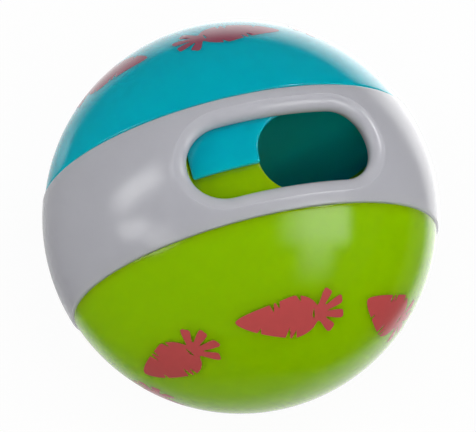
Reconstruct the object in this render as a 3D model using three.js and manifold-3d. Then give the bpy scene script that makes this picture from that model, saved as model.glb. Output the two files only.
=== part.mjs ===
// Treat dispensing ball: two push-fit half shells and an adjusting ring that turns between them.
// Sizes are in millimetres and +Z is up. The ball lies on its ring with its axis along Y, the green half
// towards -Y and the blue half towards +Y, and touches the floor at the origin.
// Angles about the axis are counted from straight up (+Z) towards +X.

import * as THREE from 'three';
import { mergeVertices } from 'three/addons/utils/BufferGeometryUtils.js';
import loadManifold from 'manifold-3d';

// Ball
const BALL_DIAMETER = 70;
const DOME_WALL = 1.8;
const SHOULDER_EDGE_ROUND = 0.4;

// Adjusting ring
const RING_WIDTH = 21.9;
const RING_WALL = 3.5;
const RING_PROUD = 0.3; // how far the ring's crown stands out of the ball
const RING_EDGE_ROUND = 0.3;
const RING_BORE_CHAMFER = 0.4;
const RING_SIDE_CLEARANCE = 0.15;
const RING_SETTLED = 0.1; // how far the loose ring has slid towards the green half
const RING_RUNNING_CLEARANCE = 0.3;
const RING_TURN = THREE.MathUtils.degToRad(24.6); // how far the ring is turned back from fully open

// Slot in the ring, with a rolled lip
const SLOT_LENGTH = 33.0;
const SLOT_HEIGHT = 13.0;
const LIP_WIDTH = 2.5;
const LIP_DEPTH = 2.65;
const LIP_SWEEP = THREE.MathUtils.degToRad(70); // the lip's arc stops short of a quarter, at a faint crease

// Window behind the slot, half in each shell
const WINDOW_ANGLE = THREE.MathUtils.degToRad(38.0);
const WINDOW_MARGIN = 0.4; // how much larger the window is than the slot, all round

// Collar of the blue half: spring tongues with a snap bead
const COLLAR_WALL = 1.3;
const COLLAR_PAST_EQUATOR = 1.0;
const COLLAR_FOOT = 6.2; // length of the thick foot that joins the collar to the inside of the dome
const TONGUE_COUNT = 3;
const TONGUE_GAP = 6.6;
const TONGUE_GAP_ROUND = 1.2;
const TONGUE_CORNER_ROUND = 0.4;
const BEAD_HEIGHT = 0.2;
const BEAD_WIDTH = 1.2;
const BEAD_CREST = 0.4; // width of the bead's flat crest
const BEAD_FROM_END = 1.8;
const BEAD_CLEARANCE = 0.1;
const GROOVE_FLOOR = 0.8; // width of the flat floor of the bead's groove

// Spigot of the green half: it goes inside the collar, and its keys stand between the tongues
const SPIGOT_WALL = 1.35;
const SPIGOT_PAST_EQUATOR = 8.0;
const LANDING_WIDTH = 3.0;
const KEY_SIDE_CLEARANCE = 0.35;
const KEY_END_CLEARANCE = 0.5;
const COLLAR_EDGE_CHAMFER = 0.35;

// Finish
const BLUE = 0x0098ae;
const GREEN = 0x84b100;
const GREY = 0xa9a9af;
const MOULDED_ROUGHNESS = 0.28;

// Fineness of the round forms
const TURN_STEPS = 48;
const DOME_STEPS = 8;
const CROWN_STEPS = 8;
const ROUND_STEPS = 3;
const ARC_STEPS = 6;
const SLOT_SIDE_STEPS = 6;
const LIP_STEPS = 5;
const OVERCUT = 1; // how far a cut runs out past the face that it opens
const CUT_INNER_SHARE = 0.5; // where radial cuts start, as a share of the bore that they open
const CUT_OUTER_SHARE = 2; // where they stop, as a share of the wall's outside
const MERGE_DISTANCE = 1e-4;

// Radii, from the ball inwards
const ballRadius = BALL_DIAMETER / 2;
const domeBore = ballRadius - DOME_WALL;
const crownRadius = ballRadius + RING_PROUD;
const ringBore = crownRadius - RING_WALL;
const journal = ringBore - RING_RUNNING_CLEARANCE;
const collarBore = journal - COLLAR_WALL;
const spigotRadius = collarBore - BEAD_HEIGHT - BEAD_CLEARANCE;
const spigotBore = spigotRadius - SPIGOT_WALL;

// Places along the axis, from the ball's equator
const ringEdge = RING_WIDTH / 2;
const shoulder = ringEdge + RING_SIDE_CLEARANCE;
const landingEdge = shoulder - LANDING_WIDTH;
const beadPlace = BEAD_FROM_END - COLLAR_PAST_EQUATOR;

// The window is the slot with a margin, wrapped round the journal
const windowHalfHeight = SLOT_HEIGHT / 2 + WINDOW_MARGIN;
const windowHalfSpan = Math.asin(SLOT_LENGTH / 2 / ringBore) + WINDOW_MARGIN / ringBore;
const windowHalfWidth = windowHalfSpan * journal;

const wasm = await loadManifold();
wasm.setup();

/** Six times the volume inside a triangle mesh, negative when its faces point inwards. */
function signedVolume(corners, faces) {
  const [a, b, c] = [new THREE.Vector3(), new THREE.Vector3(), new THREE.Vector3()];
  let sum = 0;
  for (let i = 0; i < faces.length; i += 3) {
    [a, b, c].forEach((corner, k) => corner.fromArray(corners, 3 * faces[i + k]));
    sum += a.dot(b.cross(c));
  }
  return sum;
}

/** A geometry as a closed solid: shared corners merged, flat slivers dropped, faces pointing out. */
function solid(geometry) {
  geometry.deleteAttribute('normal');
  geometry.deleteAttribute('uv');
  const merged = mergeVertices(geometry, MERGE_DISTANCE);
  const corners = merged.attributes.position.array;
  const faces = [];
  for (let i = 0; i < merged.index.count; i += 3) {
    const face = [0, 1, 2].map((k) => merged.index.getX(i + k));
    if (new Set(face).size === 3) faces.push(...face);
  }
  if (signedVolume(corners, faces) < 0) faces.reverse();
  const vertProperties = Float32Array.from(corners);
  const triVerts = Uint32Array.from(faces);
  return new wasm.Manifold(new wasm.Mesh({ numProp: 3, vertProperties, triVerts }));
}

/** A closed profile of [radius, place along the axis] points, turned round the axis. */
function turned(profile) {
  return solid(new THREE.LatheGeometry(profile, TURN_STEPS));
}

/** A skin through matching rings of points. The end triangles close its first and last ring. */
function lofted(rings, endTriangles) {
  const count = rings[0].length;
  const faces = [];
  for (let start = 0; start < count * (rings.length - 1); start += count) {
    for (let i = 0; i < count; i++) {
      const here = start + i;
      const next = start + ((i + 1) % count);
      faces.push(here, next, next + count, here, next + count, here + count);
    }
  }
  const last = count * (rings.length - 1);
  for (const [a, b, c] of endTriangles) {
    faces.push(a, c, b, last + a, last + b, last + c);
  }
  const geometry = new THREE.BufferGeometry().setFromPoints(rings.flat());
  geometry.setIndex(faces);
  return geometry;
}

/** Points of a circle about the ball's centre, from one angle off the axis to another. */
function domeArc(radius, from, to) {
  return Array.from({ length: DOME_STEPS + 1 }, (_, i) => {
    const angle = THREE.MathUtils.lerp(from, to, i / DOME_STEPS);
    return new THREE.Vector2(radius * Math.sin(angle), radius * Math.cos(angle));
  });
}

/** A rounded corner between two points, drawn towards the sharp corner. */
function rounded(from, corner, to) {
  return new THREE.QuadraticBezierCurve(from, corner, to).getPoints(ROUND_STEPS);
}

/** Profile points from pairs of numbers. */
function points(...pairs) {
  return pairs.map(([radius, place]) => new THREE.Vector2(radius, place));
}

/** Radius of a sphere about the ball's centre at a place along the axis. */
function sphereAt(radius, place) {
  return Math.sqrt(radius ** 2 - place ** 2);
}

/**
 * Profile of a half shell, with the dome towards +Y: the outside of the dome, the shoulder, the given
 * collar, and a cone between two places on the axis from the collar's bore to the inside of the dome.
 */
function shellProfile(collar, bore, [coneStart, coneEnd]) {
  const roundStart = shoulder + SHOULDER_EDGE_ROUND;
  const edge = sphereAt(ballRadius, shoulder);
  const outside = domeArc(ballRadius, 0, Math.acos(roundStart / ballRadius));
  const edgeRound = rounded(
    outside.at(-1),
    new THREE.Vector2(edge, shoulder),
    new THREE.Vector2(edge - SHOULDER_EDGE_ROUND, shoulder),
  );
  const inside = domeArc(domeBore, Math.acos(coneEnd / domeBore), 0);
  return [...outside, ...edgeRound.slice(1), ...collar, ...points([bore, coneStart]), ...inside];
}

/** Start and end of a cone at 45 degrees from a bore to the inside of the dome, with the wall kept at the corner. */
function evenCone(bore) {
  const start = shoulder - (journal - bore) + Math.SQRT2 * DOME_WALL;
  const sum = bore + start;
  const short = bore ** 2 + start ** 2 - domeBore ** 2;
  return [start, start + (Math.sqrt(sum ** 2 - 2 * short) - sum) / 2];
}

/** The blue collar's profile: outside, chamfered end and bore with the snap bead. */
function blueCollar() {
  const end = -COLLAR_PAST_EQUATOR;
  const chamfer = COLLAR_EDGE_CHAMFER;
  return points(
    [journal, shoulder],
    [journal, end + chamfer],
    [journal - chamfer, end],
    [collarBore + chamfer, end],
    [collarBore, end + chamfer],
    [collarBore, beadPlace - BEAD_WIDTH / 2],
    [collarBore - BEAD_HEIGHT, beadPlace - BEAD_CREST / 2],
    [collarBore - BEAD_HEIGHT, beadPlace + BEAD_CREST / 2],
    [collarBore, beadPlace + BEAD_WIDTH / 2],
  );
}

/** The green spigot's profile, with the dome towards +Y: landing, groove for the bead, chamfered end. */
function greenSpigot() {
  const end = -SPIGOT_PAST_EQUATOR;
  const chamfer = COLLAR_EDGE_CHAMFER;
  const grooveHalf = BEAD_WIDTH / 2 + BEAD_CLEARANCE;
  return points(
    [journal, shoulder],
    [journal, landingEdge + chamfer],
    [journal - chamfer, landingEdge],
    [spigotRadius, landingEdge],
    [spigotRadius, -beadPlace + grooveHalf],
    [spigotRadius - BEAD_HEIGHT, -beadPlace + GROOVE_FLOOR / 2],
    [spigotRadius - BEAD_HEIGHT, -beadPlace - GROOVE_FLOOR / 2],
    [spigotRadius, -beadPlace - grooveHalf],
    [spigotRadius, end + chamfer],
    [spigotRadius - chamfer, end],
    [spigotBore + chamfer, end],
    [spigotBore, end + chamfer],
  );
}

/** Outline of a notch in an edge: the edge lies along y = 0 and the notch goes up from it. */
function notchOutline(halfWidth, depth, cornerRound) {
  const mouth = TONGUE_CORNER_ROUND;
  const cornerPlace = halfWidth - cornerRound;
  const outline = new THREE.Path();
  outline.moveTo(halfWidth + mouth, -OVERCUT);
  outline.absarc(halfWidth + mouth, mouth, mouth, -Math.PI / 2, -Math.PI, true);
  outline.absarc(cornerPlace, depth - cornerRound, cornerRound, 0, Math.PI / 2, false);
  outline.absarc(-cornerPlace, depth - cornerRound, cornerRound, Math.PI / 2, Math.PI, false);
  outline.absarc(-halfWidth - mouth, mouth, mouth, 0, -Math.PI / 2, true);
  outline.lineTo(-halfWidth - mouth, -OVERCUT);
  return outline.getPoints(ARC_STEPS);
}

/** A block over an outline wrapped round the axis, with radial walls. The way is +1 or -1 along Y. */
function radialBlock(outline, angle, edge, way) {
  const ring = (radius) =>
    outline.map(({ x, y }) => {
      const turn = angle + x / journal;
      return new THREE.Vector3(radius * Math.sin(turn), edge + way * y, radius * Math.cos(turn));
    });
  const rings = [ring(CUT_INNER_SHARE * spigotBore), ring(CUT_OUTER_SHARE * journal)];
  return solid(lofted(rings, THREE.ShapeUtils.triangulateShape(outline, [])));
}

/** Angles of the gaps between the tongues: the window lies midway between two of them. */
function gapAngles() {
  const pitch = (2 * Math.PI) / TONGUE_COUNT;
  return Array.from({ length: TONGUE_COUNT }, (_, i) => WINDOW_ANGLE + (i + 0.5) * pitch);
}

/** Blue half: the dome with its collar, cut by the window and by the gaps between the tongues. */
function blueHalfShell() {
  const end = -COLLAR_PAST_EQUATOR;
  const window = notchOutline(windowHalfWidth, windowHalfHeight - end, windowHalfHeight);
  const gapDepth = SPIGOT_PAST_EQUATOR + KEY_END_CLEARANCE - end;
  const gap = notchOutline(TONGUE_GAP / 2, gapDepth, TONGUE_GAP_ROUND);
  let shell = turned(shellProfile(blueCollar(), collarBore, [shoulder, shoulder + COLLAR_FOOT]));
  shell = shell.subtract(radialBlock(window, WINDOW_ANGLE, end, 1));
  for (const angle of gapAngles()) {
    shell = shell.subtract(radialBlock(gap, angle, end, 1));
  }
  return shell;
}

/** Green half: the dome with its spigot and keys, cut by the window. */
function greenHalfShell() {
  const end = SPIGOT_PAST_EQUATOR;
  const flipped = (profile) => profile.map(({ x, y }) => new THREE.Vector2(x, -y));
  let shell = turned(flipped(shellProfile(greenSpigot(), spigotBore, evenCone(spigotBore))));
  const keyRoot = spigotRadius - SPIGOT_WALL / 2;
  const keyBand = points(
    [keyRoot, -shoulder],
    [journal, -shoulder],
    [journal, end - COLLAR_EDGE_CHAMFER],
    [journal - COLLAR_EDGE_CHAMFER, end],
    [keyRoot, end],
    [keyRoot, -shoulder],
  );
  const key = notchOutline(TONGUE_GAP / 2 - KEY_SIDE_CLEARANCE, end + landingEdge, TONGUE_GAP_ROUND);
  for (const angle of gapAngles()) {
    shell = shell.add(turned(keyBand).intersect(radialBlock(key, angle, -landingEdge, 1)));
  }
  const window = notchOutline(windowHalfWidth, windowHalfHeight + end, windowHalfHeight);
  return shell.subtract(radialBlock(window, WINDOW_ANGLE, end, -1));
}

/** The ring's closed profile: bore with chamfers, flat sides, round edges and a crowned outside. */
function ringProfile() {
  const corner = sphereAt(crownRadius, ringEdge);
  const roundEnd = ringEdge - RING_EDGE_ROUND;
  const sweep = Math.asin(roundEnd / crownRadius);
  const crown = Array.from({ length: CROWN_STEPS + 1 }, (_, i) => {
    const angle = sweep * (1 - (2 * i) / CROWN_STEPS);
    return new THREE.Vector2(crownRadius * Math.cos(angle), crownRadius * Math.sin(angle));
  });
  const edgeRound = rounded(
    new THREE.Vector2(corner - RING_EDGE_ROUND, ringEdge),
    new THREE.Vector2(corner, ringEdge),
    crown[0],
  );
  const otherEdge = edgeRound.map(({ x, y }) => new THREE.Vector2(x, -y)).reverse();
  const bore = points(
    [ringBore + RING_BORE_CHAMFER, -ringEdge],
    [ringBore, RING_BORE_CHAMFER - ringEdge],
    [ringBore, ringEdge - RING_BORE_CHAMFER],
    [ringBore + RING_BORE_CHAMFER, ringEdge],
  );
  return [...bore, ...edgeRound, ...crown.slice(1, -1), ...otherEdge, bore[0]];
}

/** Points of a stadium: two straight sides and two half-round ends, grown outwards by an offset. */
function stadium(offset) {
  const radius = SLOT_HEIGHT / 2 + offset;
  const halfSide = (SLOT_LENGTH - SLOT_HEIGHT) / 2;
  const outline = [];
  for (const half of [1, -1]) {
    for (let i = 0; i < SLOT_SIDE_STEPS; i++) {
      const along = halfSide * ((2 * i) / SLOT_SIDE_STEPS - 1);
      outline.push(new THREE.Vector2(half * along, -half * radius));
    }
    for (let i = 0; i < 2 * ARC_STEPS; i++) {
      const angle = (Math.PI * i) / (2 * ARC_STEPS) - Math.PI / 2;
      const [x, y] = [halfSide + radius * Math.cos(angle), radius * Math.sin(angle)];
      outline.push(new THREE.Vector2(half * x, half * y));
    }
  }
  return outline;
}

/**
 * Cutter of the slot: straight walls along the slot's middle radius, then a lip that rolls outwards
 * and keeps its depth below the crowned outside, all the way round.
 */
function slotCutter() {
  const across = LIP_WIDTH / (1 - Math.cos(LIP_SWEEP));
  const down = LIP_DEPTH / Math.sin(LIP_SWEEP);
  const slope = (down * Math.cos(LIP_SWEEP)) / (across * Math.sin(LIP_SWEEP));
  const level = (offset, height) =>
    stadium(offset).map(({ x, y }) => new THREE.Vector3(x, y, height));
  const underCrown = (offset, drop) =>
    stadium(offset).map(({ x, y }) => {
      const crown = Math.sqrt(crownRadius ** 2 - x ** 2 - y ** 2);
      return new THREE.Vector3(x, y, crown - drop);
    });
  const lip = Array.from({ length: LIP_STEPS + 1 }, (_, i) => {
    const angle = (LIP_SWEEP * i) / LIP_STEPS;
    const drop = down * (Math.sin(LIP_SWEEP) - Math.sin(angle));
    return underCrown(across * (1 - Math.cos(angle)), drop);
  });
  const outermost = LIP_WIDTH + OVERCUT;
  const bottom = CUT_INNER_SHARE * ringBore;
  const top = crownRadius + OVERCUT;
  const point = (height) => stadium(0).map(() => new THREE.Vector3(0, 0, height));
  const rings = [
    point(bottom),
    level(0, bottom),
    ...lip,
    underCrown(outermost, -slope * OVERCUT),
    level(outermost, top),
    point(top),
  ];
  return lofted(rings, []).rotateY(WINDOW_ANGLE - RING_TURN);
}

/** The ring with its slot. */
function adjustingRing() {
  return turned(ringProfile()).subtract(solid(slotCutter())).translate([0, -RING_SETTLED, 0]);
}

/** A named mesh of moulded plastic. */
function moulding(name, shape, color) {
  const { vertProperties, triVerts } = shape.getMesh();
  const geometry = new THREE.BufferGeometry();
  geometry.setAttribute('position', new THREE.BufferAttribute(vertProperties, 3));
  geometry.setIndex(new THREE.BufferAttribute(triVerts, 1));
  geometry.computeVertexNormals();
  const material = new THREE.MeshStandardMaterial({ color, roughness: MOULDED_ROUGHNESS, metalness: 0 });
  const mesh = new THREE.Mesh(geometry, material);
  mesh.name = name;
  return mesh;
}

const ball = new THREE.Group();
ball.position.z = crownRadius;
ball.add(moulding('blue_half_shell', blueHalfShell(), BLUE));
ball.add(moulding('green_half_shell', greenHalfShell(), GREEN));
ball.add(moulding('adjusting_ring', adjustingRing(), GREY));

export default ball;
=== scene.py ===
"""Looks of a treat dispensing ball of moulded polypropylene.

Two glossy half shells with printed carrots hold a slotted ring that turns between them. The ball's sizes
are in millimetres about its centre and become metres in the row frame when a mesh is made. Angles about its
axis, which is Y, are counted from straight up towards +X. The studio's lengths are in metres.
"""

import logging
import math
from dataclasses import dataclass
from enum import Enum

import bmesh
import bpy
import numpy as np
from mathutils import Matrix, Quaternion, Vector
from mathutils.geometry import delaunay_2d_cdt


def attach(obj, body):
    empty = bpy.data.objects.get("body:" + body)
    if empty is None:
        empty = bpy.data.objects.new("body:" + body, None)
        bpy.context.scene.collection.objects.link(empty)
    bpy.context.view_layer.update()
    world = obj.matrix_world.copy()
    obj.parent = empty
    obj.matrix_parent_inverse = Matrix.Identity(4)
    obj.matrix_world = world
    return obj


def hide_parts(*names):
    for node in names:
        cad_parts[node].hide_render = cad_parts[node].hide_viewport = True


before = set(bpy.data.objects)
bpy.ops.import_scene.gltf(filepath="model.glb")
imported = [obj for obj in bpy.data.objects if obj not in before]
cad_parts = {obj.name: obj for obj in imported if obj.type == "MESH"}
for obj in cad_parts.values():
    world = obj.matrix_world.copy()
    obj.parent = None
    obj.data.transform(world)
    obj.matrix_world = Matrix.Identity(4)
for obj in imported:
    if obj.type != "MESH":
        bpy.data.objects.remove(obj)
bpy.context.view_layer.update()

LOG = logging.getLogger("treat_ball")
MM = 0.001
CROWN_RADIUS = 35.3
BALL_CENTRE = Vector((0.0, 0.0, CROWN_RADIUS * MM))
SHARP_ANGLE = math.radians(34)
# How far a quarter round of radius 1 has come on one side, and how far it has to go on the other
QUARTER_ROUND = [(1 - math.cos(turn), 1 - math.sin(turn)) for turn in np.linspace(0, math.pi / 2, 4)]
NOISE_SPAN = (0.3, 0.7)
# The triangulation's number for keeping only what is inside the outlines
INSIDE_OUTLINES = 1
Node = bpy.types.Node
Piece = bpy.types.Object
Socket = bpy.types.NodeSocket
Tree = bpy.types.NodeTree
Value = Socket | float


class Half(Enum):
    """The two halves of the ball, each with the side of the axis that its dome is on."""

    BLUE = 1
    GREEN = -1


class Cut(Enum):
    """What a tool does to a moulding, by the name of Blender's operation."""

    ADD = "UNION"
    REMOVE = "DIFFERENCE"


def linear(colour: str) -> tuple[float, ...]:
    """Turns six hex digits of an sRGB colour to linear red, green and blue, and an alpha of 1."""
    shares = [int(colour[i : i + 2], 16) / 255 for i in (0, 2, 4)]
    return (*(s / 12.92 if s <= 0.04045 else ((s + 0.055) / 1.055) ** 2.4 for s in shares), 1.0)


def add_node(tree: Tree, kind: str, settings: dict | None = None, inputs: dict | None = None) -> Node:
    """Adds a node with its settings and its inputs.

    Args:
        tree: The node tree that gets the node.
        kind: Blender's name of the node type.
        settings: Properties of the node by name.
        inputs: Values, or sockets to link from, by the name or number of the input.

    Returns:
        The new node.
    """
    made = tree.nodes.new(kind)
    for name, value in (settings or {}).items():
        setattr(made, name, value)
    for name, value in (inputs or {}).items():
        if isinstance(value, Socket):
            tree.links.new(value, made.inputs[name])
        else:
            made.inputs[name].default_value = value
    return made


def empty_tree(owner: bpy.types.ID) -> Tree:
    """Gives a material, lamp or world an empty node tree.

    Args:
        owner: The material, lamp or world.

    Returns:
        The tree.
    """
    owner.use_nodes = True
    owner.node_tree.nodes.clear()
    return owner.node_tree


def calculate(tree: Tree, operation: str, *values: Value, clamp: bool = False) -> Socket:
    """Adds a math node, by the name of Blender's operation, and returns its result."""
    settings = {"operation": operation, "use_clamp": clamp}
    return add_node(tree, "ShaderNodeMath", settings, dict(enumerate(values))).outputs[0]


def measure(tree: Tree, operation: str, place: Socket, other: Socket | tuple) -> Socket:
    """Adds a vector math node that gives a number, such as a distance, and returns the number."""
    inputs = {0: place, 1: other}
    return add_node(tree, "ShaderNodeVectorMath", {"operation": operation}, inputs).outputs["Value"]


def ramp(tree: Tree, value: Value, span: tuple, levels: tuple, soft: bool = False) -> Socket:
    """Adds a ramp.

    Args:
        tree: The node tree that gets the node.
        value: What the ramp follows.
        span: Where the ramp starts and ends.
        levels: What it gives at its start and its end.
        soft: Whether it eases in and out.

    Returns:
        The ramp's result.
    """
    settings = {"interpolation_type": "SMOOTHSTEP" if soft else "LINEAR"}
    inputs = dict(enumerate((value, *span, *levels)))
    return add_node(tree, "ShaderNodeMapRange", settings, inputs).outputs[0]


def blend(tree: Tree, share: Socket, first: Value, second: Value) -> Socket:
    """Adds a mix of two numbers and returns it."""
    return add_node(tree, "ShaderNodeMix", inputs={0: share, 2: first, 3: second}).outputs[0]


def two_tone(tree: Tree, share: Socket, first: str, second: str) -> Socket:
    """Adds a mix of two hex colours and returns it."""
    inputs = {0: share, 6: linear(first), 7: linear(second)}
    return add_node(tree, "ShaderNodeMix", {"data_type": "RGBA"}, inputs).outputs[2]


def noise(tree: Tree, place: Socket, size: float, detail: float, distortion: float = 0.0) -> Socket:
    """Adds a noise with patches of a size in millimetres and returns it."""
    inputs = {"Vector": place, "Scale": 1 / (size * MM), "Detail": detail, "Distortion": distortion}
    return add_node(tree, "ShaderNodeTexNoise", inputs=inputs).outputs["Fac"]


def sight(tree: Tree) -> tuple[Socket, Socket]:
    """Tells kinds of rays apart.

    Args:
        tree: The node tree that gets the nodes.

    Returns:
        Whether a ray comes from the camera or through a piece, and whether it is a reflection.
    """
    rays = add_node(tree, "ShaderNodeLightPath").outputs
    seen = calculate(tree, "ADD", rays["Is Camera Ray"], rays["Is Transmission Ray"], clamp=True)
    return seen, rays["Is Glossy Ray"]


def add_object(name: str, data: bpy.types.ID) -> Piece:
    """Puts a new object in the scene.

    Args:
        name: The object's name.
        data: Its mesh, lamp or camera.

    Returns:
        The object.
    """
    made = bpy.data.objects.new(name, data)
    bpy.context.scene.collection.objects.link(made)
    return made


def pairs(first: np.ndarray, second: np.ndarray) -> np.ndarray:
    """Puts two rows of numbers side by side, one pair in each row."""
    return np.stack(np.broadcast_arrays(first, second), axis=-1)


def unit(moves: np.ndarray) -> np.ndarray:
    """Brings each row to length 1."""
    return moves / np.linalg.norm(moves, axis=1, keepdims=True)


def around(radius: np.ndarray, angle: np.ndarray, along: np.ndarray) -> np.ndarray:
    """Points at radii and angles about the ball's axis and places along it, with x, y and z last."""
    radius, angle, along = np.broadcast_arrays(radius, angle, along)
    return np.stack((radius * np.sin(angle), along, radius * np.cos(angle)), axis=-1)


def arc(centre: tuple[float, float], radius: float, start: float, end: float, steps: int) -> np.ndarray:
    """Points of an arc, one in each row, from one angle to another, in degrees and both included."""
    turn = np.radians(np.linspace(start, end, steps + 1))
    return pairs(centre[0] + radius * np.cos(turn), centre[1] + radius * np.sin(turn))


def corner_round(start: tuple, corner: tuple, end: tuple, steps: int) -> np.ndarray:
    """Points of a rounded corner, one in each row, from one side to the other, both ends included."""
    share = np.linspace(0, 1, steps + 1)[:, None]
    return (1 - share) ** 2 * start + share**2 * end + 2 * share * (1 - share) * corner


def line(start: tuple, end: tuple, step: float) -> np.ndarray:
    """Points of a straight line, one in each row, both ends included, at most a step apart."""
    share = np.linspace(0, 1, max(1, math.ceil(math.dist(start, end) / step)) + 1)[:, None]
    return (1 - share) * start + share * end


class Patchwork:
    """Faces gathered from regular patches and welded where the patches meet."""

    def __init__(self) -> None:
        """Starts with no faces."""
        self.corners: list[np.ndarray] = []
        self.faces: list[tuple[int, ...]] = []

    def points(self, corners: np.ndarray) -> int:
        """Adds corners, one in each row, and returns the number of the first."""
        self.corners.append(corners)
        return sum(len(earlier) for earlier in self.corners[:-1])

    def patch(self, rows: np.ndarray, wrap: bool = False) -> None:
        """Adds a grid of quads.

        Args:
            rows: Points in rows and columns.
            wrap: Whether each row closes on itself.
        """
        height, width = rows.shape[:2]
        first = self.points(rows.reshape(-1, 3))
        for row in range(height - 1):
            for column in range(width if wrap else width - 1):
                here = first + row * width + column
                beside = first + row * width + (column + 1) % width
                self.faces.append((here, beside, beside + width, here + width))

    def fan(self, ring: np.ndarray, middle: np.ndarray) -> None:
        """Closes a ring with triangles.

        Args:
            ring: The ring's points, one in each row.
            middle: The point that the triangles meet at.
        """
        first = self.points(np.vstack((ring, middle)))
        size = len(ring)
        self.faces += [(first + i, first + (i + 1) % size, first + size) for i in range(size)]

    def piece(self, name: str, weld: float = 2e-5) -> Piece:
        """Makes the object, in metres in the row frame, with smooth faces and sharp corners.

        Args:
            name: The piece's name.
            weld: How near to each other corners are made one.

        Returns:
            The new object.
        """
        mesh = bpy.data.meshes.new(name)
        corners = np.vstack(self.corners) * MM + np.array(BALL_CENTRE)
        mesh.from_pydata(corners.tolist(), [], self.faces)
        form = bmesh.new()
        form.from_mesh(mesh)
        bmesh.ops.remove_doubles(form, verts=form.verts, dist=weld * MM)
        bmesh.ops.dissolve_degenerate(form, edges=form.edges, dist=weld * MM)
        bmesh.ops.recalc_face_normals(form, faces=form.faces)
        form.to_mesh(mesh)
        form.free()
        made = add_object(name, mesh)
        smooth(made)
        return made


def smooth(piece: Piece) -> None:
    """Shades a piece smooth, apart from its sharp corners."""
    piece.data.shade_smooth()
    piece.data.set_sharp_from_angle(angle=SHARP_ANGLE)


def combine(piece: Piece, tool: Piece, how: Cut) -> None:
    """Adds a tool to a piece or cuts it away, and removes the tool.

    Args:
        piece: The object that changes.
        tool: The object that is added or cut away.
        how: Which of the two is done.
    """
    modifier = piece.modifiers.new("combine", "BOOLEAN")
    modifier.object = tool
    modifier.operation = how.value
    modifier.solver = "EXACT"
    view = bpy.context.evaluated_depsgraph_get()
    combined = bpy.data.meshes.new_from_object(piece.evaluated_get(view))
    piece.modifiers.clear()
    form = bmesh.new()
    form.from_mesh(combined)
    bmesh.ops.triangulate(form, faces=[face for face in form.faces if len(face.verts) > 4])
    form.to_mesh(combined)
    form.free()
    old = piece.data
    piece.data = combined
    bpy.data.meshes.remove(old)
    bpy.data.meshes.remove(tool.data)
    combined.name = piece.name
    smooth(piece)


@dataclass(frozen=True)
class MouldedPolypropylene:
    """Injection-moulded polypropylene, coloured through.

    To the eye it is a dense, even colour under a soft gloss. The pigment swirls a little along the flow,
    and the polished mould leaves a faint waviness that softens the reflections. The mould's core is less
    polished, so the faces turned to the ball's centre, from further off than the core distance, are matt.
    Light goes into it by the depth of light, in millimetres for red, green and blue.
    """

    name: str
    colour: str
    swirl: str
    roughness: tuple[float, float] = (0.09, 0.13)
    core_roughness: float = 0.5
    core_distance: float = 20.0
    ior: float = 1.49
    swirl_size: float = 16.0
    swirl_detail: float = 3.0
    swirl_bend: float = 0.6
    ripple_size: float = 2.2
    ripple_detail: float = 2.0
    ripple_depth: float = 0.004
    depth_of_light: tuple[float, float, float] = (6.0, 6.0, 6.0)
    translucency: float = 1.0

    def material(self) -> bpy.types.Material:
        """Makes the node material.

        Returns:
            The material.
        """
        made = bpy.data.materials.new(self.name)
        tree = empty_tree(made)
        coordinates = add_node(tree, "ShaderNodeTexCoord").outputs
        place = coordinates["Object"]
        flow = noise(tree, place, self.swirl_size, self.swirl_detail, self.swirl_bend)
        gloss = ramp(tree, flow, NOISE_SPAN, self.roughness)
        out = add_node(tree, "ShaderNodeVectorMath", {"operation": "SUBTRACT"}, {0: place, 1: BALL_CENTRE})
        facing = measure(tree, "DOT_PRODUCT", coordinates["Normal"], out.outputs[0])
        cored = calculate(tree, "LESS_THAN", facing, -self.core_distance * MM)
        ripple = noise(tree, place, self.ripple_size, self.ripple_detail)
        relief = {"Height": ripple, "Distance": self.ripple_depth * MM, "Strength": 1.0}
        surface = {
            "Base Color": two_tone(tree, flow, self.colour, self.swirl),
            "Roughness": blend(tree, cored, gloss, self.core_roughness),
            "Normal": add_node(tree, "ShaderNodeBump", inputs=relief).outputs[0],
            "IOR": self.ior,
            "Subsurface Weight": self.translucency,
            "Subsurface Radius": self.depth_of_light,
            "Subsurface Scale": MM,
        }
        shader = add_node(tree, "ShaderNodeBsdfPrincipled", inputs=surface)
        add_node(tree, "ShaderNodeOutputMaterial", inputs={"Surface": shader.outputs[0]})
        return made


@dataclass(frozen=True)
class PadPrintInk:
    """Pad-printed ink on polypropylene.

    To the eye it is a thin, nearly opaque colour with a softer gloss than the plastic. The pad lays it down
    a little unevenly, so the ground shows through as a fine mottle.
    """

    name: str
    colour: str
    thin: str
    roughness: tuple[float, float] = (0.12, 0.18)
    ior: float = 1.5
    mottle_size: float = 1.5
    mottle_detail: float = 4.0

    def material(self) -> bpy.types.Material:
        """Makes the node material.

        Returns:
            The material.
        """
        made = bpy.data.materials.new(self.name)
        tree = empty_tree(made)
        place = add_node(tree, "ShaderNodeTexCoord").outputs["Object"]
        mottle = noise(tree, place, self.mottle_size, self.mottle_detail)
        colour = two_tone(tree, mottle, self.colour, self.thin)
        gloss = ramp(tree, mottle, NOISE_SPAN, self.roughness)
        surface = {"Base Color": colour, "Roughness": gloss, "IOR": self.ior}
        shader = add_node(tree, "ShaderNodeBsdfPrincipled", inputs=surface)
        add_node(tree, "ShaderNodeOutputMaterial", inputs={"Surface": shader.outputs[0]})
        return made


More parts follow.
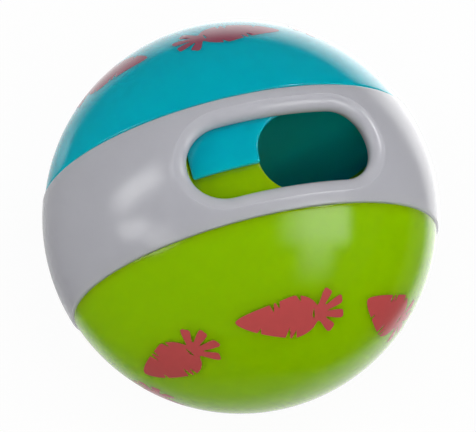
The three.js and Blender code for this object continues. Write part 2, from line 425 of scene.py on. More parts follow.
@dataclass
class AdjustingRing:
    """The grey ring that turns between the domes, with its rolled-lip slot."""

    finish: MouldedPolypropylene
    bore: float = 31.8
    half_width: float = 10.95
    settled: float = 0.1
    edge_round: float = 0.3
    bore_chamfer: float = 0.4
    slot_angle: float = math.radians(13.4)
    slot_length: float = 33.0
    slot_height: float = 13.0
    slot_edge_round: float = 0.25
    lip_width: float = 2.5
    lip_depth: float = 2.65
    lip_sweep: float = math.radians(70)
    ridge: float = 0.05
    ridge_width: float = 0.22
    panel: float = math.radians(48)
    turn_steps: int = 240
    width_steps: int = 24
    edge_steps: int = 8
    lip_steps: int = 16
    panel_rows: int = 10

    def stadium(self, offset: float) -> np.ndarray:
        """The slot's outline, grown outwards, with as many points as the edge of the panel round it.

        Args:
            offset: How far the outline is grown.

        Returns:
            The points in order: the lower side, the right end, the upper side and the left end.
        """
        radius = self.slot_height / 2 + offset
        half_side = (self.slot_length - self.slot_height) / 2
        quarter = math.pi / 4 * radius
        side_length = 2 * (half_side + quarter)
        side = []
        for along in np.linspace(0, side_length, self.panel_columns + 1)[:-1] - side_length / 2:
            past = max(abs(along) - half_side, 0.0) / radius
            reach = math.copysign(half_side + radius * math.sin(past), along)
            side.append((reach if past else along, -radius * math.cos(past)))
        turn = np.linspace(-math.pi / 4, math.pi / 4, self.width_steps + 1)[:-1]
        half = np.vstack((side, pairs(half_side + radius * np.cos(turn), radius * np.sin(turn))))
        return np.vstack((half, -half))

    @property
    def panel_columns(self) -> int:
        """Columns of the turned part that the panel round the slot takes up."""
        return round(2 * self.panel / math.tau * self.turn_steps)

    def panel_edge(self, half_height: float) -> np.ndarray:
        """The edge of the panel round the slot, as angles from its middle and heights.

        Args:
            half_height: Half the panel's height.

        Returns:
            The points, in the order of the slot's outline.
        """
        side = np.linspace(-self.panel, self.panel, self.panel_columns + 1)[:-1]
        end = np.linspace(-half_height, half_height, self.width_steps + 1)[:-1]
        half = np.vstack((pairs(side, -half_height), pairs(self.panel, end)))
        return np.vstack((half, -half))

    def placed(self, across: np.ndarray, along: np.ndarray, out: np.ndarray) -> np.ndarray:
        """Turns points across, along and out from the slot's middle line to the ring's frame."""
        cos, sin = math.cos(self.slot_angle), math.sin(self.slot_angle)
        return np.stack((across * cos + out * sin, along, out * cos - across * sin), axis=-1)

    def slot_rows(self) -> np.ndarray:
        """The slot's skin, from the fine ridge over the lip and down the wall to the bore.

        Returns:
            Rings of points, one in each row.
        """
        across = self.lip_width / (1 - math.cos(self.lip_sweep))
        down = self.lip_depth / math.sin(self.lip_sweep)
        rows = []
        for angle in np.linspace(self.lip_sweep, 0, self.lip_steps + 1):
            x, y = self.stadium(across * (1 - math.cos(angle))).T
            drop = down * (math.sin(self.lip_sweep) - math.sin(angle)) if rows else -self.ridge
            rows.append(self.placed(x, y, np.sqrt(CROWN_RADIUS**2 - x**2 - y**2) - drop))
        for grown, left in QUARTER_ROUND:
            x, y = self.stadium(self.slot_edge_round * grown).T
            rows.append(self.placed(x, y, np.sqrt(self.bore**2 - x**2) + self.slot_edge_round * left))
        return np.array(rows)

    def build(self) -> Piece:
        """Builds the ring's mesh from turned bands and the panel round the slot.

        Returns:
            The ring.
        """
        work = Patchwork()
        turn = np.linspace(0, math.tau, self.turn_steps + 1)[:-1] + self.slot_angle + self.panel
        rest = turn[: self.turn_steps - self.panel_columns + 1]
        round_end = self.half_width - self.edge_round
        latitude = math.asin(round_end / CROWN_RADIUS)
        sharp = math.sqrt(CROWN_RADIUS**2 - self.half_width**2)
        start, corner = (sharp - self.edge_round, self.half_width), (sharp, self.half_width)
        crown_edge = (CROWN_RADIUS * math.cos(latitude), round_end)
        bore_half = self.half_width - self.bore_chamfer
        chamfer = [(self.bore, bore_half), (self.bore + self.bore_chamfer, self.half_width)]
        edge = np.vstack((chamfer, corner_round(start, corner, crown_edge, self.edge_steps)))
        for side in (1, -1):
            work.patch(around(edge[:, :1], turn[None, :], side * edge[:, 1:]), wrap=True)
        lat = np.linspace(-latitude, latitude, self.width_steps + 1)[:, None]
        work.patch(around(CROWN_RADIUS * np.cos(lat), rest[None, :], CROWN_RADIUS * np.sin(lat)))
        place = np.linspace(-bore_half, bore_half, self.width_steps + 1)[:, None]
        work.patch(around(self.bore, rest[None, :], place))
        lip = self.slot_rows()
        work.patch(lip, wrap=True)

        share = np.linspace(0, 1, self.panel_rows + 1)[:, None, None]
        x, y = self.stadium(self.lip_width + self.ridge_width).T
        beside = pairs(np.arcsin(x / np.sqrt(CROWN_RADIUS**2 - y**2)), np.arcsin(y / CROWN_RADIUS))
        crown = (1 - share) * beside + share * self.panel_edge(latitude)
        turned, lifted = crown[..., 0] + self.slot_angle, crown[..., 1]
        panel = around(CROWN_RADIUS * np.cos(lifted), turned, CROWN_RADIUS * np.sin(lifted))
        work.patch(np.vstack((lip[:1], panel)), wrap=True)
        x, y = self.stadium(self.slot_edge_round).T
        inner = pairs(np.arcsin(x / self.bore), y)
        inside = (1 - share) * inner + share * self.panel_edge(bore_half)
        work.patch(around(self.bore, inside[..., 0] + self.slot_angle, inside[..., 1]), wrap=True)
        work.corners = [corners - (0.0, self.settled, 0.0) for corners in work.corners]
        return work.piece("slotted_ring")

    def dress(self, piece: Piece) -> None:
        """Gives the ring its finish and its place in the frame.

        Args:
            piece: The ring.
        """
        piece.data.materials.append(self.finish.material())
        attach(piece, "ring")
        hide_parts("adjusting_ring")


@dataclass(frozen=True)
class Notch:
    """A notch in a collar's free edge, with rounded corners at its bottom and its mouth."""

    angle: float
    half_width: float
    depth: float
    corner: float
    mouth: float = 0.4
    mouth_steps: int = 5
    fewest_steps: int = 6
    steps_per_millimetre: float = 2.4

    def half_outline(self, step: float) -> np.ndarray:
        """Points from the middle of the bottom round to the end of the mouth, across and up from the edge.

        Args:
            step: The longest straight step.

        Returns:
            The points, one in each row.
        """
        place = self.half_width - self.corner
        level = self.depth - self.corner
        corner_steps = max(self.fewest_steps, round(self.steps_per_millimetre * self.corner))
        return np.vstack(
            (
                line((0.0, self.depth), (place, self.depth), step)[:-1],
                arc((place, level), self.corner, 90, 0, corner_steps)[:-1],
                line((self.half_width, level), (self.half_width, self.mouth), step)[:-1],
                arc((self.half_width + self.mouth, self.mouth), self.mouth, 180, 270, self.mouth_steps),
            )
        )


@dataclass
class HalfShell:
    """A half of the ball: a dome with a stepped-in collar that carries the ring.

    It is worked out with its dome towards +Y, and the half gives the side that it ends on.
    """

    finish: MouldedPolypropylene
    half: Half
    collar_radius: float
    collar_wall: float
    collar_end: float
    collar_root: float
    radius: float = 35.0
    wall: float = 1.8
    shoulder: float = 11.1
    shoulder_round: float = 0.4
    journal: float = 31.5
    edge_round: float = 0.3
    window_angle: float = math.radians(38.0)
    window_half_width: float = 17.58
    window_half_height: float = 6.9
    gap_count: int = 3
    gap_width: float = 6.6
    gap_corner: float = 1.2
    edge_step: float = 1.1
    dome_steps: int = 34
    shoulder_steps: int = 5
    collar_steps: int = 16
    band_steps: int = 8
    side_weight: float = 0.5

    @property
    def collar_bore(self) -> float:
        """Radius of the collar's inside."""
        return self.collar_radius - self.collar_wall

    @property
    def gap_angles(self) -> list[float]:
        """Angles of the gaps between the tongues: the window lies midway between two of them."""
        pitch = math.tau / self.gap_count
        return [self.window_angle + (i + 0.5) * pitch for i in range(self.gap_count)]

    def window(self) -> Notch:
        """This half's share of the window, a notch that is open at the collar's end."""
        depth = self.window_half_height - self.collar_end
        return Notch(self.window_angle, self.window_half_width, depth, self.window_half_height)

    def notches(self) -> list[Notch]:
        """All notches of the free edge, in order round the axis."""
        return [self.window()]

    def stretches(self) -> list[tuple[Notch, Notch, float]]:
        """The stretches of the free edge, each from the middle of a notch to the middle of the next.

        Returns:
            The two notches and the turn from one to the other.
        """
        notches = self.notches()
        following = notches[1:] + notches[:1]
        return [(a, b, (b.angle - a.angle) % math.tau or math.tau) for a, b in zip(notches, following)]

    def free_edge(self) -> tuple[np.ndarray, np.ndarray, np.ndarray]:
        """The collar's free edge, developed flat at the journal's radius.

        Returns:
            The edge's points, the directions into the wall, and the angle where each point's line of the
            mesh leaves the collar's root.
        """
        outline, roots = [], []
        for notch, after, turn in self.stretches():
            start, end = notch.angle * self.journal, (notch.angle + turn) * self.journal
            out = notch.half_outline(self.edge_step) + (start, 0)
            back = after.half_outline(self.edge_step)[::-1] * (-1, 1) + (end, 0)
            run = line(tuple(out[-1]), tuple(back[0]), self.edge_step)
            part = np.vstack((out[:-1], run, back[1:]))
            moves = np.abs(np.diff(part, axis=0))
            weight = np.concatenate(([0.0], np.cumsum(moves[:, 0] + self.side_weight * moves[:, 1])))
            outline.append(part[:-1])
            roots.append((notch.angle + turn * weight / weight[-1])[:-1])
        edge = np.vstack(outline)
        lap = np.array((math.tau * self.journal, 0.0))
        before = np.vstack((edge[-1:] - lap, edge[:-1]))
        following = np.vstack((edge[1:], edge[:1] + lap))
        tangent = unit(unit(edge - before) + unit(following - edge))
        return edge, pairs(-tangent[:, 1], tangent[:, 0]), np.concatenate(roots)

    def landing(self) -> np.ndarray:
        """Profile points from the shoulder to the collar's root."""
        return np.array([(self.journal, self.shoulder)])

    def outside(self) -> np.ndarray:
        """The outer profile.

        Returns:
            Its points, from next to the dome's pole to the collar's root.
        """
        round_start = self.shoulder + self.shoulder_round
        edge = math.sqrt(self.radius**2 - self.shoulder**2)
        angles = np.linspace(0, math.acos(round_start / self.radius), self.dome_steps + 1)[1:]
        dome = self.radius * pairs(np.sin(angles), np.cos(angles))
        end = (edge - self.shoulder_round, self.shoulder)
        rounding = corner_round(tuple(dome[-1]), (edge, self.shoulder), end, self.shoulder_steps)
        return np.vstack((dome, rounding[1:], self.landing()))

    def cone(self) -> tuple[float, float]:
        """The inner cone, here at 45 degrees.

        Returns:
            The places along the axis where it leaves the bore and meets the dome.
        """
        start = self.shoulder - (self.journal - self.collar_bore) + math.sqrt(2) * self.wall
        total = self.collar_bore + start
        excess = self.collar_bore**2 + start**2 - (self.radius - self.wall) ** 2
        return start, start + (math.sqrt(total**2 - 2 * excess) - total) / 2

    def inside(self) -> np.ndarray:
        """The inner profile.

        Returns:
            Its points, from the collar's bore over the cone to next to the pole.
        """
        start, end = self.cone()
        inner = self.radius - self.wall
        angles = np.linspace(math.acos(end / inner), 0, self.dome_steps + 1)[:-1]
        return np.vstack(([(self.collar_bore, start)], inner * pairs(np.sin(angles), np.cos(angles))))

    def shell(self, name: str) -> Piece:
        """Builds the dome and its collar as one closed skin.

        Args:
            name: The piece's name.

        Returns:
            The new object.
        """
        edge, inward, root = self.free_edge()
        outside, inside = self.outside(), self.inside()
        rows = [around(r, root, y) for r, y in outside]
        start = edge + self.edge_round * inward
        turn, along = start[:, 0] / self.journal, self.collar_end + start[:, 1]

        def near_edge(inset: float, radius: float) -> np.ndarray:
            """A row that keeps a distance from the free edge."""
            place = edge + inset * inward
            return around(radius, place[:, 0] / self.journal, self.collar_end + place[:, 1])

        def between(radius: float, level: float, share: float) -> np.ndarray:
            """A row between the collar's root and the start of the edge's round."""
            return around(radius, (1 - share) * root + share * turn, (1 - share) * level + share * along)

        shares = np.linspace(0, 1, self.collar_steps + 1)
        rows += [between(self.collar_radius, self.collar_root, share) for share in shares[1:]]
        for grown, left in QUARTER_ROUND[1:]:
            rows.append(near_edge(self.edge_round * left, self.collar_radius - self.edge_round * grown))
        for grown, left in QUARTER_ROUND:
            rows.append(near_edge(self.edge_round * grown, self.collar_bore + self.edge_round * left))
        rows += [between(self.collar_bore, inside[0][1], share) for share in shares[::-1][1:]]
        rows += [around(r, root, y) for r, y in inside[1:]]
        grid = np.array(rows) * (1, self.half.value, 1)
        work = Patchwork()
        work.patch(grid, wrap=True)
        work.fan(grid[0], np.array((0, self.half.value * self.radius, 0)))
        work.fan(grid[-1], np.array((0, self.half.value * (self.radius - self.wall), 0)))
        return work.piece(name)

    def section(self, place: float, *levels: tuple[float, float]) -> np.ndarray:
        """Section of a bead or a groove.

        Args:
            place: Where its middle is along the axis.
            levels: Its radius and half width, level by level.

        Returns:
            Its points as radii and places along the axis.
        """
        lower = [(radius, place - half_width) for radius, half_width in levels]
        upper = [(radius, place + half_width) for radius, half_width in levels]
        return np.array(lower[:1] + upper + lower[:0:-1])

    def band(self, section: np.ndarray, start: float, end: float) -> Piece:
        """A bar bent round the axis, or a whole ring, as a tool for the shell.

        Args:
            section: Its section as radii and places along the axis.
            start: Its first angle.
            end: Its last angle.

        Returns:
            The tool.
        """
        steps = max(self.band_steps, math.ceil((end - start) * self.journal / self.edge_step))
        turn = np.linspace(start, end, steps + 1)
        side = self.half.value
        rows = np.array([around(section[:, 0], angle, side * section[:, 1]) for angle in turn])
        work = Patchwork()
        work.patch(rows, wrap=True)
        if end - start < math.tau:
            for row in (rows[0], rows[-1]):
                work.fan(row, row.mean(axis=0))
        return work.piece("band")

    def dress(self, piece: Piece) -> None:
        """Gives the moulding its finish and its place in the frame.

        Args:
            piece: The moulding.
        """
        colour = self.half.name.lower()
        piece.data.materials.clear()
        piece.data.materials.append(self.finish.material())
        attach(piece, f"{colour}_half")
        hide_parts(f"{colour}_half_shell")


@dataclass
class BlueHalf(HalfShell):
    """The blue half, whose collar is split into spring tongues with a snap bead."""

    half: Half = Half.BLUE
    collar_radius: float = 31.5
    collar_wall: float = 1.3
    collar_end: float = -1.0
    collar_root: float = 11.1
    edge_round: float = 0.35
    foot: float = 6.2
    gap_end: float = 8.5
    bead_place: float = 0.8
    bead_height: float = 0.2
    bead_width: float = 1.2
    bead_root: float = 0.4
    bead_setback: float = 0.5

    def cone(self) -> tuple[float, float]:
        """Places where the long foot of the collar leaves the bore and meets the inside of the dome."""
        return self.shoulder, self.shoulder + self.foot

    def notches(self) -> list[Notch]:
        """The window and the gaps between the tongues."""
        gap = (self.gap_width / 2, self.gap_end - self.collar_end, self.gap_corner)
        return [self.window(), *(Notch(angle, *gap) for angle in self.gap_angles)]

    def build(self) -> Piece:
        """Builds the shell and sets a length of bead on each stretch of the collar's inside.

        Returns:
            The moulding.
        """
        shell = self.shell("blue_dome_and_collar")
        bore, half_width = self.collar_bore, self.bead_width / 2
        root = (bore + self.bead_root, half_width)
        top = (bore - self.bead_height, self.bead_width / 6)
        section = self.section(self.bead_place, root, (bore, half_width), top)
        for notch, after, turn in self.stretches():
            start = notch.angle + (notch.half_width + self.bead_setback) / self.journal
            end = notch.angle + turn - (after.half_width + self.bead_setback) / self.journal
            combine(shell, self.band(section, start, end), Cut.ADD)
        return shell


@dataclass
class GreenHalf(HalfShell):
    """The green half, whose spigot has a groove for the bead and keys that stand between the tongues."""

    half: Half = Half.GREEN
    collar_radius: float = 29.9
    collar_wall: float = 1.35
    collar_end: float = -8.0
    collar_root: float = 8.1
    landing_chamfer: float = 0.35
    groove_place: float = -0.8
    groove_depth: float = 0.2
    groove_width: float = 1.4
    groove_floor: float = 0.8
    key_clearance: float = 0.35
    key_drop: float = 0.06
    key_root: float = 0.7
    key_end: float = -7.7
    key_foot: float = 0.8

    def landing(self) -> np.ndarray:
        """The landing beside the dome, chamfered, and the step down to the spigot.

        Returns:
            Their profile points.
        """
        edge = self.journal - self.landing_chamfer
        return np.array(
            (
                (self.journal, self.shoulder),
                (self.journal, self.collar_root + self.landing_chamfer),
                (edge, self.collar_root),
                (self.collar_radius, self.collar_root),
            )
        )

    def key(self, angle: float) -> Piece:
        """A key as a tool: a block over a tongue-shaped outline, with its outer edge rounded.

        Args:
            angle: Where it stands.

        Returns:
            The tool.
        """
        depth = self.collar_root - self.key_end
        shape = Notch(angle, self.gap_width / 2 - self.key_clearance, depth, self.gap_corner)
        half = shape.half_outline(self.edge_step)
        foot = half[-1] + (0, -self.key_foot)
        right = np.vstack((half, foot))
        left = right[::-1][:-1] * (-1, 1)
        outline = np.vstack((right, left))
        tangent = unit(np.roll(outline, -1, axis=0) - np.roll(outline, 1, axis=0))
        inward = pairs(tangent[:, 1], -tangent[:, 0])

        def row(inset: float, radius: float, share: float) -> np.ndarray:
            """A row at an inset from the outline, drawn in towards the middle line."""
            across, up = ((outline + inset * inward) * (share, 1)).T
            return around(radius, angle + across / self.journal, self.half.value * (self.collar_root - up))

        top = self.journal - self.key_drop
        base = self.collar_radius - self.key_root
        rows = [row(0, base, 0.0), row(0, base, 1.0), row(0, top - self.edge_round, 1.0)]
        for grown, left in QUARTER_ROUND[1:]:
            rows.append(row(self.edge_round * grown, top - self.edge_round * left, 1.0))
        rows += [row(self.edge_round, top, 0.5), row(self.edge_round, top, 0.0)]
        work = Patchwork()
        work.patch(np.array(rows), wrap=True)
        return work.piece("key")

    def build(self) -> Piece:
        """Builds the shell, cuts the groove and adds the keys.

        Returns:
            The moulding.
        """
        shell = self.shell("green_dome_and_spigot")
        half_width = self.groove_width / 2
        floor = (self.collar_radius - self.groove_depth, self.groove_floor / 2)
        mouth = (self.collar_radius, half_width)
        section = self.section(self.groove_place, floor, mouth, (self.journal, half_width))
        combine(shell, self.band(section, 0.0, math.tau), Cut.REMOVE)
        for angle in self.gap_angles:
            combine(shell, self.key(angle), Cut.ADD)
        return shell


@dataclass
class CarrotPrint:
    """A row of pad-printed carrots round a dome, each a tapered root with nicks and a fan of leaves."""

    half: Half
    ink: PadPrintInk
    first_angle: float
    latitude: float
    way: int
    tilt: float = 0.0
    count: int = 6
    radius: float = 35.0
    film: float = 0.012
    root_length: float = 14.4
    root_half_width: float = 4.3
    root_points: int = 29
    tip_crowding: float = 1.4
    taper: float = 0.62
    widest: float = 0.7
    neck: float = 0.92
    leaf_length: float = 5.4
    leaf_lean: float = 0.5
    leaf_room: float = 1.4
    side_leaf_angle: float = 60.0
    side_leaf_loss: float = 0.1
    middle: float = 9.7
    grain: float = 0.7
    corner_merge: float = 1e-4
    leaf_angles: tuple[float, ...] = (-60.0, -20.0, 16.0, 54.0)
    nicks: tuple[tuple[float, int, float], ...] = (
        (0.27, 1, 0.42),
        (0.43, -1, 0.5),
        (0.5, -1, 0.36),
        (0.62, 1, 0.52),
        (0.7, 1, 0.4),
        (0.76, -1, 0.3),
    )
    nick_width: float = 0.75
    nick_lean: float = 0.5
    nick_overshoot: float = 0.5
    nick_flare: float = 0.3

    def half_width(self, share: np.ndarray) -> np.ndarray:
        """Half the root's width.

        Args:
            share: Places along the root, from 0 at the tip to 1 at the neck.

        Returns:
            Half the width at each place.
        """
        taper = np.clip(share / self.widest, 0, 1) ** self.taper
        past = np.clip((share - self.widest) / (1 - self.widest), 0, 1) * self.neck
        return self.root_half_width * np.where(share < self.widest, taper, np.sqrt(1 - past**2))

    def root(self) -> np.ndarray:
        """Outline of the root.

        Returns:
            Its points, from the tip along one side and back along the other.
        """
        share = np.linspace(0, 1, self.root_points) ** self.tip_crowding
        width = self.half_width(share)
        one = pairs(share * self.root_length, -width)
        other = pairs(share * self.root_length, width)[::-1]
        return np.vstack((one, other[:-1]))

    def crown(self) -> np.ndarray:
        """Outline of the short crown between the root and its leaves."""
        start, end = self.root_length - 0.6, self.root_length + 1.5
        return np.array(((start, -1.5), (end, -1.9), (end + 0.4, 0.0), (end, 1.9), (start, 1.5)))

    def leaf(self, angle: float) -> np.ndarray:
        """Outline of a leaf that widens from the crown to a slanted, rounded end.

        Args:
            angle: The leaf's direction off the carrot's middle line, in degrees.

        Returns:
            The outline's points.
        """
        length = self.leaf_length * (1 - self.side_leaf_loss * abs(angle) / self.side_leaf_angle)
        lean = math.copysign(self.leaf_lean, angle)
        shape = np.array(
            (
                (0.4, -0.55),
                (0.45 * length, -0.62),
                (0.8 * length, -0.85),
                (0.95 * length - 0.3 * lean, -0.8),
                (length - 0.2 * lean, -0.4),
                (length + 0.2 * lean, 0.2),
                (length + 0.3 * lean, 0.6),
                (0.93 * length + 0.3 * lean, 0.9),
                (0.75 * length, 0.85),
                (0.45 * length, 0.62),
                (0.4, 0.55),
            )
        )
        turn = math.radians(angle)
        spin = np.array(((math.cos(turn), math.sin(turn)), (-math.sin(turn), math.cos(turn))))
        return shape @ spin + (self.root_length - 0.1, 0)

    def nick(self, share: float, side: int, depth: float) -> np.ndarray:
        """Outline of a nick in the root's side.

        Args:
            share: Its place along the root.
            side: Which side it is cut from.
            depth: Its depth as a share of the root's half width there.

        Returns:
            The outline's points.
        """
        width = float(self.half_width(np.array(share)))
        place = share * self.root_length
        past = self.nick_overshoot
        flare = past * self.nick_flare
        return np.array(
            (
                (place - self.nick_width / 2 - flare, side * (width + past)),
                (place + self.nick_lean, side * width * (1 - depth)),
                (place + self.nick_width / 2 + flare, side * (width + past)),
            )
        )[::side]

    def figure(self) -> tuple[np.ndarray, list[tuple[int, ...]]]:
        """The carrot as a flat mesh with small triangles.

        Returns:
            The corners and the triangles.
        """
        shapes = [self.root(), self.crown()] + [self.leaf(angle) for angle in self.leaf_angles]
        kept = len(shapes)
        shapes += [self.nick(*nick) for nick in self.nicks]
        corners, loops = [], []
        for shape in shapes:
            loops.append(list(range(len(corners), len(corners) + len(shape))))
            corners += [Vector(point) for point in shape]
        reach = self.root_half_width + self.leaf_length
        length = self.root_length + self.leaf_room * self.leaf_length
        for i, x in enumerate(np.arange(0, length, self.grain)):
            for y in np.arange(-reach, reach, self.grain):
                corners.append(Vector((x, y + (i % 2) * self.grain / 2)))
        found = delaunay_2d_cdt(corners, [], loops, INSIDE_OUTLINES, self.corner_merge)
        flat, _, faces, _, _, sources = found
        shown = [tuple(f) for f, source in zip(faces, sources) if source and max(source) < kept]
        return np.array([tuple(v) for v in flat]), shown

    def on_dome(self, flat: np.ndarray, angle: float, radius: float) -> np.ndarray:
        """Lays flat points on the dome without stretching them along the print's middle lines.

        Args:
            flat: The figure's points.
            angle: Where round the axis the figure's middle is.
            radius: The radius that they are laid at.

        Returns:
            The points.
        """
        side = self.half.value
        offset = (flat - (self.middle, 0)) * (self.way, 1)
        turn = math.radians(self.tilt)
        across = offset[:, 0] * math.cos(turn) - offset[:, 1] * math.sin(turn)
        up = offset[:, 0] * math.sin(turn) + offset[:, 1] * math.cos(turn)
        reach = np.hypot(across, up)
        swing = reach / self.radius
        part = np.divide(np.sin(swing), reach, out=np.zeros_like(reach), where=reach > 0)
        lat = math.radians(self.latitude)
        out = around(math.cos(lat), angle, side * math.sin(lat))
        east = np.array((math.cos(angle), 0.0, -math.sin(angle)))
        north = around(-math.sin(lat), angle, side * math.cos(lat))
        return radius * (
            np.cos(swing)[:, None] * out + (part * across)[:, None] * east + (part * up)[:, None] * north
        )

    def build(self) -> Piece:
        """Builds all carrots of the row as one piece of closed film.

        Returns:
            The film.
        """
        flat, faces = self.figure()
        used = sorted({corner for face in faces for corner in face})
        number = {corner: i for i, corner in enumerate(used)}
        faces = [tuple(number[corner] for corner in face) for face in faces]
        flat = flat[used]
        sides = dict.fromkeys(edge for a, b, c in faces for edge in ((a, b), (b, c), (c, a)))
        rim = [edge for edge in sides if edge[::-1] not in sides]
        work = Patchwork()
        for i in range(self.count):
            angle = math.radians(self.first_angle) + math.tau * i / self.count
            top = work.points(self.on_dome(flat, angle, self.radius + self.film))
            under = work.points(self.on_dome(flat, angle, self.radius - self.film))
            work.faces += [tuple(top + corner for corner in face) for face in faces]
            work.faces += [tuple(under + corner for corner in face[::-1]) for face in faces]
            work.faces += [(top + b, top + a, under + a, under + b) for a, b in rim]
        return work.piece(f"{self.half.name.lower()}_dome_carrots", self.film)

    def dress(self, piece: Piece) -> None:
        """Gives the print its ink and lets it ride on its half."""
        piece.data.materials.append(self.ink.material())
        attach(piece, f"{self.half.name.lower()}_half")


@dataclass(frozen=True)
class Softbox:
    """A soft studio lamp that faces the ball."""

    name: str
    azimuth: float
    elevation: float
    width: float
    height: float
    radiance: float
    roll: float = 0.0
    fade: tuple[float, float, float, float] = (0.05, 0.05, 0.05, 0.05)
    distance: float = 0.9
    mirrored: bool = True

    def build(self) -> None:
        """Makes the lamp: its power follows from its size and the brightness of its face."""
        lamp = bpy.data.lights.new(self.name, "AREA")
        lamp.shape = "RECTANGLE"
        lamp.size = self.width
        lamp.size_y = self.height
        lamp.energy = self.radiance * math.pi * self.width * self.height
        tree = empty_tree(lamp)
        face = add_node(tree, "ShaderNodeNewGeometry").outputs["Parametric"]
        place = add_node(tree, "ShaderNodeSeparateXYZ", inputs={0: face}).outputs
        power = 1.0
        for axis, edge, reach in zip("XXYY", (0.0, 1.0, 0.0, 1.0), self.fade):
            inner = edge + reach * (1 - 2 * edge)
            power = ramp(tree, place[axis], (edge, inner), (0.0, power), soft=True)
        glow = add_node(tree, "ShaderNodeEmission", inputs={"Strength": power})
        add_node(tree, "ShaderNodeOutputLight", inputs={"Surface": glow.outputs[0]})
        made = add_object(self.name, lamp)
        back = direction(self.azimuth, self.elevation)
        made.location = BALL_CENTRE + self.distance * back
        made.rotation_mode = "QUATERNION"
        roll = Quaternion((0, 0, 1), math.radians(self.roll))
        made.rotation_quaternion = back.to_track_quat("Z", "Y") @ roll
        made.visible_glossy = self.mirrored


def direction(azimuth: float, elevation: float) -> Vector:
    """The direction, of length 1, at degrees round the ball, from -Y towards +X, and above the floor."""
    turn, lift = math.radians(azimuth), math.radians(elevation)
    return Vector((math.sin(turn) * math.cos(lift), -math.cos(turn) * math.cos(lift), math.sin(lift)))


@dataclass(frozen=True)
class Pool:
    """A round pool of light painted on the floor, which only the gloss near the ball's rim shows: a painted
    reflection.
    """

    centre: tuple[float, float, float]
    inner: float
    outer: float
    glow: float


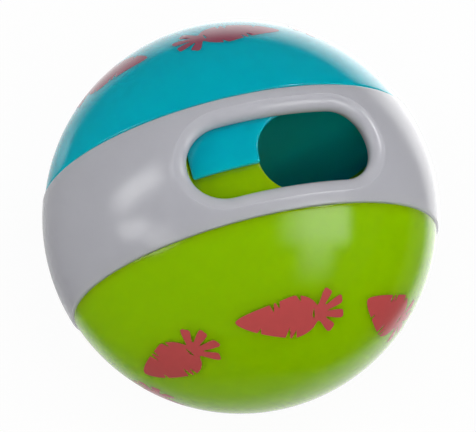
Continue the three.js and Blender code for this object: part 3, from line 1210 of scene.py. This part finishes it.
@dataclass
class Studio:
    """The pale floor, the soft light and the camera. The aim and the paper's grain are in millimetres."""

    camera_azimuth: float = -14.07
    camera_elevation: float = 71.91
    camera_distance: float = 0.7
    clip_start: float = 0.01
    lens: float = 297.2
    aim_right: float = -0.44
    aim_up: float = 0.21
    floor_size: float = 8.0
    floor_lines: int = 9
    floor_colours: tuple[str, str] = ("dededc", "dadad8")
    paper_grain: float = 8.3333
    paper_detail: float = 3.0
    painted_pools: tuple[Pool, ...] = (
        Pool((0.055, 0.048, 0.0), 0.018, 0.128, 2.1),
        Pool((0.01, -0.035, 0.0), 0.0, 0.075, 0.3),
        Pool((-0.063, 0.057, 0.0), 0.002, 0.016, 0.5),
        Pool((-0.042, -0.013, 0.0), 0.002, 0.018, 0.35),
    )
    # Where, and by how much, the painted glow that reflections see is dimmed: painted shade in the ball's
    # rims
    painted_glow_fade_side: tuple[float, float, float] = (0.788, -0.616, 0.0)
    painted_glow_fade_span: tuple[float, float] = (0.052, 0.074)
    painted_glow_past_fade: float = 0.15
    wall_top: float = 0.35
    floor_glow: float = 0.95
    fill: float = 0.4
    walls: float = 0.04
    ceiling: float = 0.02
    softboxes: tuple[Softbox, ...] = (
        Softbox("right_window_top", 51.8, 41.8, 0.89, 0.46, 3.3, roll=-58.0, fade=(0.5, 0.2, 0.4, 0.05)),
        Softbox("right_window_foot", 34.5, 27.8, 0.5, 0.46, 1.8, roll=-42.0, fade=(0.45, 0.4, 0.8, 0.3)),
        Softbox("left_window_top", -110.0, 29.0, 0.3, 0.75, 4.6, roll=21.0, fade=(0.4, 0.4, 0.4, 0.3)),
        Softbox("left_window_foot", -89.6, 24.0, 0.2, 0.45, 4.6, roll=-15.0, fade=(0.4, 0.4, 0.3, 0.3)),
        Softbox("left_window_sill", -77.2, 35.9, 0.16, 0.38, 3.0, roll=-8.0, fade=(0.3, 0.3, 0.3, 0.3)),
        Softbox("back_right_key", 109.0, 42.5, 0.3, 0.2, 9.6),
        Softbox("left_fill", -112.0, 25.0, 0.6, 0.6, 0.8, mirrored=False),
        Softbox("overhead_fill", -8.0, 80.0, 0.6, 0.6, 3.5, mirrored=False),
    )

    def floor(self) -> None:
        """Lays the floor, which looks white and keeps a soft shadow of the ball. In reflections alone it
        glows with painted pools of light, dimmed past a straight edge, which paint a reflection on the
        ball's rims.
        """
        work = Patchwork()
        reach = self.floor_size / 2 / MM
        places = np.linspace(-reach, reach, self.floor_lines)
        across, along = np.meshgrid(places, places)
        work.patch(np.stack((across, along, np.full_like(across, -CROWN_RADIUS)), axis=-1))
        floor = work.piece("floor")
        made = bpy.data.materials.new("white paper with painted reflection glow")
        tree = empty_tree(made)
        seen, mirrored = sight(tree)
        place = add_node(tree, "ShaderNodeTexCoord").outputs["Object"]
        # Painted pools of light, which glow only where the gloss looks at the floor
        level = self.walls
        for pool in self.painted_pools:
            away = measure(tree, "DISTANCE", place, pool.centre)
            painted_pool = ramp(tree, away, (pool.inner, pool.outer), (pool.glow, 0.0))
            level = calculate(tree, "ADD", painted_pool, level)
        # Painted shade in the reflection: the glow is dimmed past a straight edge
        past = measure(tree, "DOT_PRODUCT", place, self.painted_glow_fade_side)
        edge = ramp(tree, past, self.painted_glow_fade_span, (1.0, self.painted_glow_past_fade), soft=True)
        bright = blend(tree, seen, calculate(tree, "MULTIPLY", level, edge), 1.0)
        grain = noise(tree, place, self.paper_grain, self.paper_detail)
        tone = two_tone(tree, grain, *self.floor_colours)
        paper = add_node(tree, "ShaderNodeBsdfDiffuse", inputs={"Color": tone}).outputs[0]
        glow = add_node(tree, "ShaderNodeEmission", inputs={"Strength": bright}).outputs[0]
        share = calculate(tree, "MULTIPLY_ADD", seen, self.floor_glow, mirrored, clamp=True)
        shader = add_node(tree, "ShaderNodeMixShader", inputs={0: share, 1: paper, 2: glow})
        add_node(tree, "ShaderNodeOutputMaterial", inputs={"Surface": shader.outputs[0]})
        floor.data.materials.append(made)

    def world(self) -> None:
        """Sets the fill light, the white background and the dim ceiling that the gloss shows."""
        world = bpy.data.worlds.new("studio")
        bpy.context.scene.world = world
        tree = empty_tree(world)
        seen, mirrored = sight(tree)
        place = add_node(tree, "ShaderNodeTexCoord").outputs["Generated"]
        height = add_node(tree, "ShaderNodeSeparateXYZ", inputs={0: place}).outputs["Z"]
        walls = ramp(tree, height, (0.0, self.wall_top), (self.walls, self.ceiling), soft=True)
        bright = blend(tree, seen, blend(tree, mirrored, self.fill, walls), 1.0)
        inputs = {"Color": linear("ffffff"), "Strength": bright}
        sky = add_node(tree, "ShaderNodeBackground", inputs=inputs)
        add_node(tree, "ShaderNodeOutputWorld", inputs={"Surface": sky.outputs[0]})

    def camera(self) -> None:
        """Sets the camera at the photograph's angle."""
        lens = bpy.data.cameras.new("camera")
        lens.lens = self.lens
        lens.clip_start = self.clip_start
        made = add_object("camera", lens)
        back = direction(self.camera_azimuth, self.camera_elevation)
        turn = back.to_track_quat("Z", "Y")
        aim = turn @ Vector((self.aim_right * MM, self.aim_up * MM, 0.0))
        made.location = BALL_CENTRE + aim + self.camera_distance * back
        made.rotation_mode = "QUATERNION"
        made.rotation_quaternion = turn
        bpy.context.scene.camera = made

    def build(self) -> None:
        """Sets up the whole studio."""
        bpy.context.scene.view_settings.view_transform = "Standard"
        self.camera()
        self.floor()
        self.world()
        for softbox in self.softboxes:
            softbox.build()


BLUE_FINISH = MouldedPolypropylene(
    "blue moulded polypropylene", "00a0b1", "009bab", depth_of_light=(6.0, 6.45, 5.0)
)
GREEN_FINISH = MouldedPolypropylene(
    "green moulded polypropylene", "86b900", "81b200", depth_of_light=(11.0, 11.0, 11.0)
)
GREY_FINISH = MouldedPolypropylene("grey moulded polypropylene", "a9a9af", "a4a4aa", (0.13, 0.17))
RED_INK = PadPrintInk("red pad-printed ink", "b04646", "a54342")
DEEP_RED_INK = PadPrintInk("red pad-printed ink on blue", "8c4656", "7e4355")


def main() -> None:
    """Builds the studio and the ball's sub-assemblies in order, and reports each piece."""
    logging.basicConfig(level=logging.INFO, format="%(message)s")
    Studio().build()
    assemblies = (
        GreenHalf(finish=GREEN_FINISH),
        BlueHalf(finish=BLUE_FINISH),
        AdjustingRing(finish=GREY_FINISH),
        CarrotPrint(Half.GREEN, RED_INK, first_angle=5.7, latitude=50.0, way=1, tilt=3.5),
        CarrotPrint(Half.BLUE, DEEP_RED_INK, first_angle=10.5, latitude=49.4, way=-1),
    )
    for assembly in assemblies:
        piece = assembly.build()
        assembly.dress(piece)
        LOG.info("%s: %d faces", piece.name, len(piece.data.polygons))


if __name__ == "__main__":
    main()
